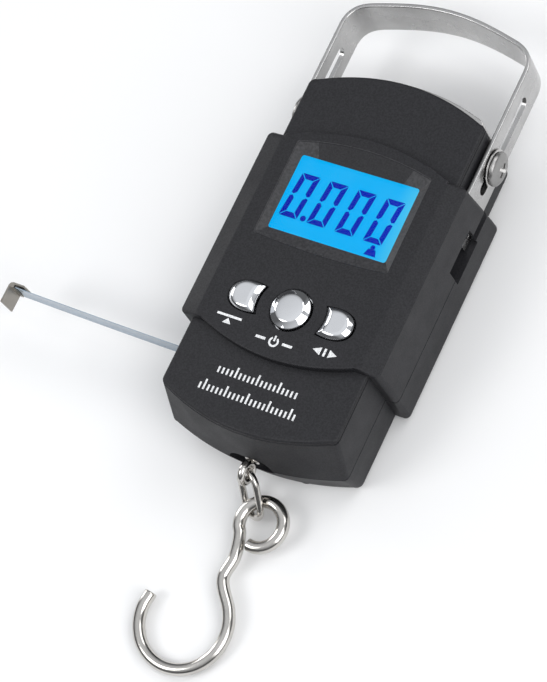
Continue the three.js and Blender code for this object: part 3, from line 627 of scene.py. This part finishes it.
def front_shell():
    """The front half of the case; the display's sloped frame is a little less rough and painted lighter, a
    painted sheen.
    """
    body = core("case_front", 0, PARTING + SEAM, FACE_Z)
    boolean(body, [wide("wide_front", PARTING + SEAM, DEPTH), panel("panel")], "UNION")
    bezel_low = DEPTH - RECESS
    opening = arched(DISPLAY_HALF, DISPLAY_LOW, 0, DISPLAY_HIGH, 0, 0.8, 8)
    bezel = [(bezel_low - 3, opening), (bezel_low, opening)]
    for dz, inset in ((-0.25, 0.0), (-0.08, -0.1), (0.05, -0.35)):
        low, high = SLOPE_LOW + inset, SLOPE_HIGH - inset
        bezel.append((DEPTH + dz, arched(SLOPE_HALF - inset, low, 1, high, 2.9, 0.9, 8)))
    hole, rim, flare = BUTTON_R + BUTTON_GAP, DEPTH - 0.25, DEPTH + 0.05
    tools = [
        core("front_hollow", WALL, PARTING - 1, FACE_Z - 2),
        block("panel_hollow", -25.2, 25.2, -26.5, 33.4, 20, DEPTH - 2),
        block("window_seat", -21.2, 21.2, 3.2, 30.8, 20, bezel_low),
        loft("bezel", bezel),
        lathe(
            "round_hole",
            [(0, 26), (hole, 26), (hole, rim), (hole + 0.25, flare), (hole + 0.25, 36), (0, 36)],
            96, Matrix.Translation((0, BUTTON_Y * MM, 0)),
        ),
    ]
    for side in (1, -1):
        narrow, wider = counter(crescent(-BUTTON_GAP, side)), counter(crescent(-BUTTON_GAP - 0.25, side))
        tools.append(loft("side_hole", [(26, narrow), (rim, narrow), (flare, wider), (36, wider)]))
    tools += handle_rooms() + mouths() + [strap_room(), cross_bore("screw_bore", 2.3)]
    boolean(body, tools)
    finish_piece(body, MATERIALS["case"], "case", ["front_shell"])
    # the bezel's sloped faces take the lighter frame plastic, a painted sheen
    body.data.materials.append(MATERIALS["frame"])
    for face in body.data.polygons:
        x, y, z = face.center / MM
        sloped = 0.8 < face.normal.z < 0.97
        if sloped and z > bezel_low and abs(x) < SLOPE_HALF + 0.4 and SLOPE_LOW - 0.2 < y < SLOPE_HIGH + 3.6:
            face.material_index = 1
    return body


def rear_shell():
    """The rear half of the case, with ribs round the cells, screw bosses and the battery opening."""
    body = core("case_rear", 0, 0, PARTING - SEAM)
    boolean(body, [wide("wide_rear", 0, PARTING - SEAM)], "UNION")
    boolean(body, [core("rear_hollow", WALL, WALL - 0.3, PARTING + 1)])
    side, low, high, thick, foot = 27.4, -31.2, 23.7, 1.2, 1.8
    ribs = [block("rib", x, x + thick, low + 0.8, high - 0.8, foot, 9) for x in (8.3, -9.5)]
    ribs += [block("rib", -side, side, y, y + thick, foot, 10) for y in (low, high - thick)]
    ribs += [post("boss", 3.6, 1, 4.6, x, y) for x, y in CASE_SCREWS]
    ribs += [post("boss", 2.4, 1, PARTING - SEAM, x, y) for x, y in CASE_SCREWS]
    boolean(body, ribs, "UNION")
    rebate = arched(COVER_HALF, COVER_LOW, 0, COVER_HIGH, 0, 1.0, 4)
    opening = arched(COVER_HALF - 1, COVER_LOW + 1, 0, COVER_HIGH - 1, 0, 1.0, 4)
    tools = [prism("rebate", rebate, -1, 1.6), prism("opening", opening, -1, 5)]
    tools += [post("head_room", 2.9, -1, 2.8, x, y) for x, y in CASE_SCREWS]
    tools += [block("cell_room", -6.5, 6.5, -56, 52, 8.4, 20)]
    tools += handle_rooms() + mouths() + [strap_room(), cross_bore("screw_bore", 2.3)]
    boolean(body, tools)
    return finish_piece(body, MATERIALS["case"], "case", ["rear_shell"])


def battery_cover():
    """Flush lid with a soft edge and a thumb grip of fine grooves."""

    def outline(inset, corner):
        return arched(COVER_HALF - inset, COVER_LOW + inset, 0, COVER_HIGH - inset, 0, corner, 4)

    edge, soft = outline(COVER_GAP, 0.9), outline(COVER_GAP + 0.25, 0.8)
    body = loft("battery_lid", [(0.0, soft), (0.25, edge), (1.3, edge)])
    boolean(body, [
        block("stiffener", -0.6, 0.6, COVER_LOW + 2, COVER_HIGH - 2, 1.2, 2.6),
        block("catch", -19.9, 19.9, COVER_HIGH - 3.2, COVER_HIGH - 1.3, 1.2, 3.4),
    ], "UNION")
    grips = []
    for i in range(6):
        y, half = 12.0 + 1.6 * i, 7.5 - 0.9 * abs(i - 2.5)
        grips.append(prism("grip", arched(half, y, 0, y + 0.8, 0, 0.38, 2), -1, 0.45))
    boolean(body, grips)
    return finish_piece(body, MATERIALS["cover"], "battery_cover", ["battery_cover"])


# ---- display ----
def pane(margin, corner, steps):
    """The display opening's outline, larger all round by a margin."""
    low, high = DISPLAY_LOW - margin, DISPLAY_HIGH + margin
    return arched(DISPLAY_HALF + margin, low, 0, high, 0, corner, steps)


def window():
    top = DEPTH - RECESS - 0.3
    levels = [(top - 1.2, pane(1.3, 1, 6)), (top - 0.12, pane(1.3, 1, 6)), (top, pane(1.18, 1, 6))]
    return finish_piece(loft("window", levels), MATERIALS["window"], "case", ["display_lens"])


def screen():
    levels = [(27.7, pane(1.1, 0.4, 2)), (29.58, pane(1.1, 0.4, 2)), (29.62, pane(1.0, 0.4, 2))]
    return finish_piece(loft("screen", levels), MATERIALS["screen"], "case", ["lcd_panel"])


def raised(shapes, name, below, above):
    """Thin flat shapes, each given as (height, outline), in one mesh."""
    verts, faces = [], []
    for z, outline in shapes:
        low, n = len(verts), len(outline)
        verts.extend((x, y, z + dz) for dz in (below, above) for x, y in counter(outline))
        faces.append(tuple(low + i for i in reversed(range(n))))
        faces.append(tuple(low + n + i for i in range(n)))
        faces.extend((low + i, low + (i + 1) % n, low + n + (i + 1) % n, low + n + i) for i in range(n))
    return add_mesh(name, verts, faces)


def numerals():
    """Four seven-bar zeros, the point after the first, and a small weight sign below the last."""
    height, width, thick, pitch, slant, gap, middle = 14.3, 6.1, 1.65, 9.4, 0.1, 0.2, 17.2
    h, w = height / 2, width / 2
    flat = [(-w + gap, h), (w - gap, h), (w - gap - thick, h - thick), (-w + gap + thick, h - thick)]
    inner = w - thick
    upright = [(w, h - gap), (w, gap + thick * 0.2), (w - thick / 2, gap)]
    upright += [(inner, gap + thick / 2), (inner, h - gap - thick)]
    shapes = []
    for digit in range(4):
        centre = -15.3 + pitch * digit
        bars = [[(x, sy * y) for x, y in flat] for sy in (-1, 1)]
        bars += [[(sx * x, sy * y) for x, y in upright] for sx in (-1, 1) for sy in (-1, 1)]
        shapes += [[(centre + x + slant * y, middle + y) for x, y in bar] for bar in bars]
    shapes.append(circle(0.9, steps=20, centre=(-11.1, middle - h + 0.85)))
    shapes.append([(11.3, 6.2), (15.1, 6.2), (14.4, 8.2), (12.0, 8.2)])
    shapes.append(circle(0.75, steps=20, centre=(13.2, 8.8)))
    obj = raised([(29.6, shape) for shape in shapes], "numerals", 0, 0.08)
    return finish_piece(obj, MATERIALS["segment"], "case", weighted=False)


# ---- printed marks ----
def printed_marks():
    """Plain signs: a balance, a power sign and two wedges, with two rows of scale ticks below."""
    shapes = []

    def bar(x0, x1, y0, y1, z=DEPTH):
        shapes.append((z, [(x0, y0), (x1, y0), (x1, y1), (x0, y1)]))

    bar(-21.0, -12.8, -24.9, -24.2)
    shapes.append((DEPTH, [(-18.3, -26.9), (-15.5, -26.9), (-16.9, -25.2)]))
    bar(-6.6, -3.4, -27.9, -27.1)
    bar(2.2, 5.4, -27.9, -27.1)
    ring = [math.radians(125 + 14.5 * i) for i in range(21)]
    for a, b in zip(ring, ring[1:]):
        corners = ((1.0, a), (1.6, a), (1.6, b), (1.0, b))
        shapes.append((DEPTH, [(-0.6 + r * math.cos(t), -27.6 + r * math.sin(t)) for r, t in corners]))
    bar(-0.88, -0.32, -27.4, -25.7)
    shapes.append((DEPTH, [(11.4, -25.8), (14.0, -27.0), (14.0, -24.6)]))
    shapes.append((DEPTH, [(19.2, -25.8), (16.6, -27.0), (16.6, -24.6)]))
    bar(14.95, 15.65, -27.0, -24.6)
    for count, middle_x, y in ((19, -1.0, -39.0), (23, -1.5, -45.1)):
        for i in range(count):
            x, tall = middle_x + 1.42 * (i - (count - 1) / 2), 3.2 if i % 5 == count // 2 % 5 else 1.9
            bar(x - 0.3, x + 0.3, y - 1.6, y - 1.6 + tall, FACE_Z)
    obj = raised(shapes, "printed_marks", -0.02, 0.03)
    return finish_piece(obj, MATERIALS["print"], "case", weighted=False)


# ---- buttons ----
def round_button():
    """A domed cap with a flange under the panel and a stem down to its switch."""
    top, r, stem = BUTTON_TOP, BUTTON_R, BUTTON_STEM
    profile = [(0, SWITCH_TOP), (stem, SWITCH_TOP), (stem, FLANGE_LOW), (r + 1, FLANGE_LOW)]
    profile += [(r + 1, FLANGE_HIGH), (r, FLANGE_HIGH), (r, top - 1.6)]
    profile += [(r - 0.35 + 0.35 * math.cos(a), top - 1.6 + 0.4 * math.sin(a)) for a in (0.4, 0.8, 1.2)]
    profile += [(r - 1.45, top - 0.55), (r - 1.7, top - 0.3), (r - 2.0, top - 0.14), (r - 2.6, top - 0.06)]
    profile += [(r * 0.4, top + 0.02), (0, top + 0.05)]
    obj = lathe("round_button", profile, 96, Matrix.Translation((0, BUTTON_Y * MM, 0)))
    return finish_piece(obj, MATERIALS["chrome"], "power_button", ["power_button"], 50, False)


def crescent_button(name, side):
    """A hollow-sided cap: a flange, an upright side, a broad slope and a nearly flat top, on a stem."""
    top = BUTTON_TOP
    levels = [(FLANGE_LOW, -0.9), (FLANGE_HIGH - 0.05, -0.9), (FLANGE_HIGH, 0.0)]
    levels += [(top - 1.8, 0.0), (top - 1.55, 0.05), (top - 1.3, 0.2), (top - 1.1, 0.42)]
    levels += [(top - 0.5, 1.25), (top - 0.32, 1.55), (top - 0.2, 1.95), (top - 0.12, 2.5)]
    obj = loft(f"{name}_cap", [(z, counter(crescent(inset, side))) for z, inset in levels])
    stem = post("stem", BUTTON_STEM, SWITCH_TOP, FLANGE_LOW + 0.2, side * CAP_MIDDLE, BUTTON_Y)
    boolean(obj, [stem], "UNION")
    return finish_piece(obj, MATERIALS["chrome"], f"{name}_button", [f"{name}_button"], 50)


# ---- handle and its fixings ----
def handle_line():
    """The bail's centre line: straight legs, a tight bend at each shoulder and a low arch between them."""
    x, apex, shoulder = HANDLE_IN + HANDLE_T / 2, HANDLE_TOP - HANDLE_T / 2, (-24, 83.2)
    left = [(-x, HANDLE_FOOT + (HANDLE_BEND - HANDLE_FOOT) * i / 40) for i in range(41)]
    left += bezier(((-x, HANDLE_BEND), (-x, 80.1), (-27.6, 82.1), shoulder), 18)
    left += bezier((shoulder, (-15, apex - 1.6), (-8, apex), (0, apex)), 26)
    return left + [(-px, py) for px, py in left[-2::-1]]


def handle():
    """The bail, a flat strip with a long slot in each leg and a small hole near each end."""
    section = rounded_bar(HANDLE_T / 2, HANDLE_W / 2, 0.42, 4)
    obj = sweep("bail", [(x, y, HANDLE_Z) for x, y in handle_line()], section)
    slot = circle(SLOT_HALF, 0, 180, 14, (0, SLOT_HIGH - SLOT_HALF))
    slot += circle(SLOT_HALF, 180, 180, 14, (0, SLOT_LOW + SLOT_HALF))
    small = [(0, -4), (0.9, -4), (0.9, 4), (0, 4)]
    tools = []
    for side in (-1, 1):
        tools.append(prism("slot", slot, -2, 2))
        tools[-1].data.transform(along_x(side * 31, 0, HANDLE_Z))
        tools.append(lathe("end_hole", small, 24, along_x(side * 31, 25.6, 15.2)))
    boolean(obj, tools)
    soften(obj, 0.18, 60)
    return finish_piece(obj, MATERIALS["handle"], "handle", ["handle"], 40)


def handle_screw(name, side):
    """A truss-head screw with a cross recess, turned a little out of square."""
    out = HANDLE_IN + HANDLE_T + 1.1
    profile = [(0, SCREW_IN), (SCREW_R - 0.4, SCREW_IN), (SCREW_R, SCREW_IN + 0.5), (SCREW_R, out)]
    profile += [(HEAD_R - 0.1, out), (HEAD_R, out + 0.12), (HEAD_R, out + 0.42), (HEAD_R - 0.12, out + 0.58)]
    profile += [(HEAD_R * x, out + 0.5 + 1.6 * y) for x, y in circle(1, 8, 82, 12)[1:-1]] + [(0, out + 2.1)]
    obj = lathe(f"screw_{name}", profile, 72)
    spans = [(out + 0.1, 1.0, 0.4), (out + 2.4, 2.5, 0.55)]
    arms = []
    for turn in (0, 90):
        arm = loft("recess", [(z, [(-a, -b), (a, -b), (a, b), (-a, b)]) for z, a, b in spans])
        arm.data.transform(Matrix.Rotation(math.radians(turn + 22), 4, "Z"))
        arms.append(arm)
    boolean(obj, arms)
    obj.data.transform(along_x(0, SCREW_Y, HANDLE_Z, side))
    return finish_piece(obj, MATERIALS["screw"], "case", [f"handle_screw_{name}"], 40)


def washer(name, side):
    """A flat ring with soft rims, under a screw's head."""
    low = HANDLE_IN + HANDLE_T + 0.3
    high, soft, rim = low + WASHER_T, 0.12, WASHER_R - 0.15
    profile = [(WASHER_BORE, low), (rim, low), (WASHER_R, low + soft)]
    profile += [(WASHER_R, high - soft), (rim, high), (WASHER_BORE, high)]
    obj = lathe(f"washer_{name}", profile, 64, along_x(0, SCREW_Y, HANDLE_Z, side))
    return finish_piece(obj, MATERIALS["steel"], "case", [f"handle_washer_{name}"], 40, False)


def hanger_strap():
    """The strap that joins the handle's screws across the top of the case."""
    section = rounded_bar(STRAP_T / 2, STRAP_W / 2, 0.25, 3)
    obj = sweep("strap", [(x, y, HANDLE_Z) for x, y in strap_line(48)], section)
    tie = block("tie", -STRAP_X, STRAP_X, 49.9, 51.1, HANDLE_Z - STRAP_W / 2, HANDLE_Z + STRAP_W / 2 - 1)
    boolean(obj, [tie], "UNION")
    boolean(obj, [cross_bore("hole", 2.2)])
    return finish_piece(obj, MATERIALS["steel"], "case", ["hanger_strap"], 40)


# ---- hook, link and eyelet ----
def eyelet():
    """A wire ring on a shank that runs up into the load cell, with a collar at its root."""
    ring = [(0, y, z) for y, z in circle(EYE_R, steps=64, centre=(EYE_Y, EYE_Z))]
    obj = sweep("eye", ring, circle(EYE_WIRE, steps=20), True, Vector((1, 0, 0)))
    top = EYE_Y + EYE_R
    stem = [(0, top - 0.2 + 3.4 * i, EYE_Z) for i in range(8)]
    shoulder = [(0, top + 0.7 + 0.5 * i, EYE_Z) for i in range(3)]
    shank = sweep("shank", stem, circle(EYE_WIRE + 0.3, steps=20))
    collar = sweep("collar", shoulder, circle(2.3, steps=24))
    boolean(obj, [shank, collar], "UNION")
    return finish_piece(obj, MATERIALS["wire"], "case", ["eyelet"], 45)


def link_line(steps=96):
    """The chain link's centre line, a long oval, and the normal of its plane."""
    across = LINK_ACROSS.normalized()
    along = (LINK_ALONG - across * across.dot(LINK_ALONG)).normalized()
    straight = LINK_HALF - LINK_BEND
    rows = []
    for i in range(steps):
        a = 2 * math.pi * i / steps
        y = LINK_BEND * math.sin(a) + straight * math.tanh(6 * math.sin(a))
        rows.append(Vector(LINK_CENTRE) + across * (LINK_BEND * math.cos(a)) + along * y)
    return rows, across.cross(along)


def link():
    rows, normal = link_line()
    obj = sweep("chain_link", rows, circle(LINK_WIRE, steps=18), True, normal)
    return finish_piece(obj, MATERIALS["wire"], "link", ["link"], 60, False)


def hook_line():
    """The hook's centre line, from the open end of its eye, down the shank and round the bowl to the tip."""
    points = []

    def arc(cx, cy, r, start, stop, step):
        count = round(abs(stop - start) / step)
        for i in range(count + 1):
            a = math.radians(start + (stop - start) * i / count)
            points.append(Vector((cx + r * math.cos(a), cy + r * math.sin(a), 0)))

    arc(0, 0, HOOK_EYE, -102, 222, 20)
    points.extend([Vector((-3.5, -11.4, 0)), Vector((-4.1, -18.4, 0))])
    arc(BOWL_X, BOWL_Y, HOOK_BOWL, 33, -198, 21)
    return smooth_line(points, 8)


def smooth_line(points, steps):
    """A centripetal Catmull-Rom curve through the points."""
    padded = [points[0] * 2 - points[1]] + points + [points[-1] * 2 - points[-2]]
    rows = []
    for i in range(len(points) - 1):
        knots = [0.0]
        for a, b in zip(padded[i:i + 3], padded[i + 1:i + 4]):
            knots.append(knots[-1] + (b - a).length ** 0.5)

        def between(a, b, low, high):
            share = (t - knots[low]) / (knots[high] - knots[low])
            return a * (1 - share) + b * share

        for k in range(steps):
            t = knots[1] + (knots[2] - knots[1]) * k / steps
            sides = [between(padded[i + j], padded[i + j + 1], j, j + 1) for j in range(3)]
            halves = [between(sides[j], sides[j + 1], j, j + 2) for j in range(2)]
            rows.append(between(halves[0], halves[1], 1, 2))
    return rows + [points[-1]]


def hook():
    """A round wire, with a small bevel at each cut end, laid so that its bowl rests on the floor."""
    rows = hook_line()
    first, last = (rows[1] - rows[0]).normalized(), (rows[-1] - rows[-2]).normalized()
    rows = [rows[0], rows[0] + first * 0.3] + rows[1:-1] + [rows[-1] - last * 0.3, rows[-1]]
    obj = sweep("wire_hook", rows, lambda t: circle(HOOK_WIRE - (0.35 if t in (0, 1) else 0), steps=24))
    tilt = math.asin((HOOK_AT[2] - HOOK_WIRE - 0.05) / (HOOK_BOWL - BOWL_Y))
    obj.data.transform(Matrix.Translation([c * MM for c in HOOK_AT]) @ Matrix.Rotation(tilt, 4, "X"))
    return finish_piece(obj, MATERIALS["wire"], "hook", ["hook"], 50, False)


# ---- tape ----
def blade_y(x):
    """How far out the tape lies at x: straight in the case, and bowed a little outside it."""
    t = max((MOUTH_X - x) / (MOUTH_X - TAPE_END), 0)
    return TAPE_Y + TAPE_BOW * t * t


def tape_blade():
    """A thin strip, slightly hollow across its width, on a mesh of its own."""
    xs = [REEL_X + (TAPE_END - REEL_X) * i / 160 for i in range(161)]
    half, middle, dish = (REEL_HIGH - REEL_LOW) / 2, (REEL_HIGH + REEL_LOW) / 2, 0.22
    across = [i / 10 * 2 - 1 for i in range(11)]
    outer = [(0.13 - dish * c * c, half * c) for c in across]
    inner = [(-0.13 - dish * c * c, half * c) for c in reversed(across)]
    obj = sweep("blade", [(x, blade_y(x), middle) for x in xs], outer + inner)
    finish_piece(obj, MATERIALS["tape"], "case", ["tape_blade"], 50, False)
    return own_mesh(obj)


def tape_end():
    """Sheet-metal end: a clip over the blade and a turned-down stop, with a round bend and two rivets."""
    y, t = blade_y(TAPE_END), 0.3
    low, high = REEL_LOW - 0.4, REEL_HIGH + 0.4
    top = y + TAPE_T / 2 + 0.3 + t
    bend = circle(1.1, 90, 90, 8, (TAPE_END - 0.9, top - 1.1))
    line = [(TAPE_END + 2.9, top)] + bend + [(TAPE_END - 2.0, y - 6.0)]
    obj = prism("tape_stop", counter(strip_outline(line, 2 * t)), low, high)
    boolean(obj, [block("clip_lip", TAPE_END - 1.9, TAPE_END - 0.35, y - 0.5, top, low, high)], "UNION")
    rivets = []
    for z in (low + 2.0, high - 2.0):
        rivet = lathe("rivet", [(0, 0), (0.95, 0), (0.9, 0.35), (0.6, 0.55), (0, 0.62)], 24)
        place = Matrix.Translation(((TAPE_END + 1.2) * MM, (top - 0.1) * MM, z * MM))
        rivet.data.transform(place @ Matrix.Rotation(-math.pi / 2, 4, "X"))
        rivets.append(rivet)
    boolean(obj, rivets, "UNION")
    soften(obj, 0.12, 50)
    return finish_piece(obj, MATERIALS["blade_end"], "tape_end", ["tape_end_hook"], 40)


# ---- carried-over CAD pieces ----
def dress_cad_nodes():
    """Better materials on the CAD nodes that stay, most of them inside the case."""
    finishes = {
        "backlight": "guide", "main_board": "board", "controller_chip": "parts", "power_switch": "parts",
        "unit_switch": "parts", "tare_switch": "parts", "load_cell": "alloy", "load_cell_bolt": "steel",
        "tape_reel": "inner", "tape_coil": "tape", "reel_axle": "steel", "reel_spring": "steel",
    }
    for side in ("right", "left"):
        finishes.update({
            f"handle_nut_{side}": "steel", f"battery_{side}": "jacket",
            f"battery_spring_{side}": "steel", f"battery_contact_{side}": "steel",
        })
    finishes.update({f"case_screw_{i}": "screw" for i in range(1, 5)})
    for name, finish in finishes.items():
        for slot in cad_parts[name].material_slots:
            slot.material = MATERIALS[finish]


# ---- studio ----
def floor():
    reach, z = 4000, -0.3
    corners = [(-reach, -reach, z), (reach, -reach, z), (reach, reach, z), (-reach, reach, z)]
    obj = add_mesh("studio_floor", corners, [(0, 1, 2, 3)])
    n = Nodes("pale_floor")
    tone = n.blend_colours(n.noise(n.place(), 3), (0.86, 0.86, 0.865), (0.9, 0.9, 0.9))
    obj.data.materials.append(n.finish(Base_Color=tone, Roughness=0.75))
    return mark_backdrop(obj)


def soft_light(name, place, size, power, target=(0, -10, 10)):
    light = bpy.data.lights.new(name, "AREA")
    light.shape = "RECTANGLE"
    light.size, light.size_y = size
    light.energy = power
    obj = bpy.data.objects.new(name, light)
    obj.location = [c * MM for c in place]
    obj.rotation_euler = (Vector(target) * MM - obj.location).to_track_quat("-Z", "Y").to_euler()
    bpy.context.scene.collection.objects.link(obj)
    return obj


def studio():
    """A dome that is bright overhead and dim at the horizon, with soft lights from the right and behind."""
    world = bpy.data.worlds.new("studio")
    world.use_nodes = True
    tree = world.node_tree
    where = tree.nodes.new("ShaderNodeTexCoord")
    split = tree.nodes.new("ShaderNodeSeparateXYZ")
    ramp = tree.nodes.new("ShaderNodeMapRange")
    for socket, value in (("From Min", 0.35), ("From Max", 0.95), ("To Min", 0.12), ("To Max", 0.85)):
        ramp.inputs[socket].default_value = value
    tree.links.new(where.outputs["Generated"], split.inputs[0])
    tree.links.new(split.outputs["Z"], ramp.inputs["Value"])
    tree.nodes["Background"].inputs["Color"].default_value = (0.95, 0.97, 1.0, 1)
    tree.links.new(ramp.outputs["Result"], tree.nodes["Background"].inputs["Strength"])
    bpy.context.scene.world = world
    soft_light("key", (700, -200, 600), (0.6, 0.7), 4.6)
    soft_light("top", (420, 620, 760), (0.7, 0.5), 2.6)
    soft_light("front_left", (-460, -520, 780), (0.45, 0.45), 2.6)
    soft_light("left", (-800, 120, 200), (0.25, 0.7), 2.2)


def camera():
    """A long lens above the right side of the lower end, looking down at the display."""
    place = Vector((302.1, -187.9, 613.7)) * MM
    forward, up = Vector((-0.449, 0.238, -0.861)).normalized(), Vector((-0.288, 0.874, 0.392))
    right = forward.cross(up).normalized()
    up = right.cross(forward)
    data = bpy.data.cameras.new("camera")
    data.sensor_width, data.lens, data.clip_start = 36, 126.7, 0.05
    obj = bpy.data.objects.new("camera", data)
    obj.matrix_world = Matrix.Translation(place) @ Matrix((right, up, -forward)).transposed().to_4x4()
    bpy.context.scene.collection.objects.link(obj)
    bpy.context.scene.camera = obj


camera()
studio()
floor()
dress_cad_nodes()
front_shell()
rear_shell()
battery_cover()
window()
screen()
numerals()
printed_marks()
round_button()
crescent_button("unit", 1)
crescent_button("tare", -1)
handle()
handle_screw("right", 1)
handle_screw("left", -1)
washer("right", 1)
washer("left", -1)
hanger_strap()
eyelet()
link()
hook()
tape_blade()
tape_end()
bpy.context.scene.view_settings.view_transform = "Standard"
